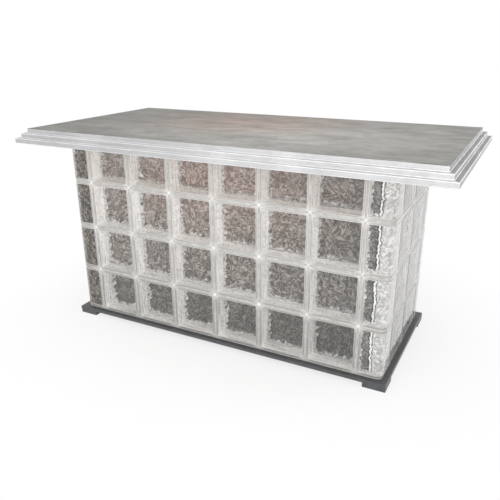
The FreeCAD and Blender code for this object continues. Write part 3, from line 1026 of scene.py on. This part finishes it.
# Stage

def surroundings():
    """White surroundings, dim as a light and full where the camera sees them."""
    world = bpy.data.worlds.new("studio")
    bpy.context.scene.world = world
    world.use_nodes = True
    graph = Graph(world.node_tree)
    light = world.node_tree.nodes["Background"]
    graph.put(light, {"Color": WHITE, "Strength": AMBIENT})
    shown = graph.add("Background", Color=WHITE, Strength=1.0)
    graph.mix_shaders(graph.seen(), light, shown, "World Output")


def studio_floor():
    """White floor, which keeps the object's shadow beside it and is plain white further out."""
    edge = FLOOR_REACH
    shape = Shape()
    shape.add([(-edge, -edge, 0), (edge, -edge, 0), (edge, edge, 0), (-edge, edge, 0)], [[0, 1, 2, 3]], 0)
    finish = Finish("studio_floor", Roughness=0.9, Specular_IOR_Level=0.1)
    where = finish.place()
    cloud = finish.noise(where, 3.0)
    finish.paint(finish.ramp(cloud, (0.3, shade(250, 250, 250)), (0.7, shade(254, 254, 254))))
    far = finish.span(finish.length(where), 0.70, 1.0, start=0.6, end=1.3)
    share = finish.math("MULTIPLY", far, finish.seen())
    plain = finish.add("Emission", Color=WHITE, Strength=1.0)
    finish.mix_shaders(share, finish.shader, plain, "Material Output")
    shape.piece("studio_floor", [finish.material], smooth=False)


def soft_lamp(name, place, aim, width, height, power):
    lamp = bpy.data.lights.new(name, "AREA")
    lamp.shape = "RECTANGLE"
    lamp.size = width
    lamp.size_y = height
    lamp.energy = power
    made = bpy.data.objects.new(name, lamp)
    made.location = place
    made.rotation_euler = (Vector(aim) - Vector(place)).to_track_quat("-Z", "Y").to_euler()
    bpy.context.scene.collection.objects.link(made)


def camera():
    data = bpy.data.cameras.new("camera")
    data.sensor_width = SENSOR
    data.lens = CAMERA_LENS
    made = bpy.data.objects.new("camera", data)
    heading = Matrix.Rotation(math.radians(CAMERA_HEADING), 4, "Z")
    tilt = Matrix.Rotation(math.radians(90 + CAMERA_TILT), 4, "X")
    roll = Matrix.Rotation(math.radians(CAMERA_ROLL), 4, "Z")
    made.matrix_world = Matrix.Translation(CAMERA_PLACE) @ heading @ tilt @ roll
    bpy.context.scene.collection.objects.link(made)
    bpy.context.scene.camera = made


# The table in its studio

panes = [clear_glass(), rippled_glass(), far_glass()]
long_walls = side_wall("glass_side_wall", 1.0, (8, 120, 8), "X", RING_CENTRE.x)
long_rims = rim_glass("glass_rim", 1.0, "X", RING_CENTRE.x)
# Painted shade: the end walls and rims are dimmer copies of the long ones.
end_walls = side_wall("glass_end_side_wall", 0.85, (120, 8, 8), "Y", RING_CENTRE.y)
end_rims = rim_glass("glass_end_rim", 0.9, "Y", RING_CENTRE.y)
coat = grained("glass_edge_coat", (shade(216, 215, 210), shade(236, 235, 231)), 260.0, 4.0, 0.3, 0.0008,
               Roughness=0.55)
# Two copies of the corner glass: pale in painted light, and dusky in painted shade for the front-left
# corner.
painted_lit_corner = corner_glass("glass_corner_painted_lit")
painted_shaded_corner = corner_glass("glass_corner_painted_shaded",
                            [shade(52, 46, 40), shade(78, 71, 64), shade(158, 149, 138)])
milky = sealant_rubber("sealant_milky", 158, 196)
# Painted highlight: brighter sealant for the blobs where four blocks meet.
milky_painted_highlight = sealant_rubber("sealant_painted_highlight", 196, 240)
# Painted light and shade on the trim: lighter treads on the front and back are painted light, the folds
# carry a painted highlight, and the darker ends are painted-shade copies.
along = (0, 0, 0)
trim_along = [trim_metal("trim_riser_along", along, 0.8, 172),
              trim_metal("trim_tread_along_painted_light", along, 0.45, 202),
              trim_metal("trim_fold_along_painted_highlight", along, 0.45, 208)]
across = (0, 0, math.pi / 2)
trim_across = [trim_metal("trim_riser_across_painted_shade", across, 0.8, 142),
               trim_metal("trim_tread_across_painted_shade", across, 0.7, 140),
               trim_metal("trim_fold_across_painted_highlight", across, 0.45, 200)]
wood = plywood()
rubber = grained("pad_black_rubber", (shade(30, 30, 31), shade(52, 52, 53)), 320.0, 3.0, 0.4, 0.0006,
                 Roughness=0.7)
plastic = grained("spacer_white_plastic", (shade(220, 220, 216), shade(238, 238, 235)), 150.0, 2.0,
                  0.2, 0.0005, Roughness=0.4)
black = black_base()
steel = screw_steel()

glass_blocks(panes + [long_walls, long_rims, coat], panes + [end_walls, end_rims, coat])
corner_units([panes[0], long_walls, long_rims, coat], painted_lit_corner, painted_shaded_corner)
sealant([milky, milky_painted_highlight])
stepped_trim(trim_along, trim_across)
top_sheet(painted_light_top())
dress({
    "base_board": black, "foot_front": black, "foot_back": black, "foot_screws": steel,
    "cleat_": wood, "cleat_screws": steel, "top_board": wood, "mid_edge": wood, "low_edge": wood,
    "base_bedding": milky, "corner_bedding": milky, "head_pads": rubber,
    "level_spacers": plastic, "upright_spacers": plastic,
})
bpy.context.scene.view_settings.view_transform = "Standard"
surroundings()
studio_floor()
for name, settings in LAMPS.items():
    soft_lamp(name, *settings)
camera()
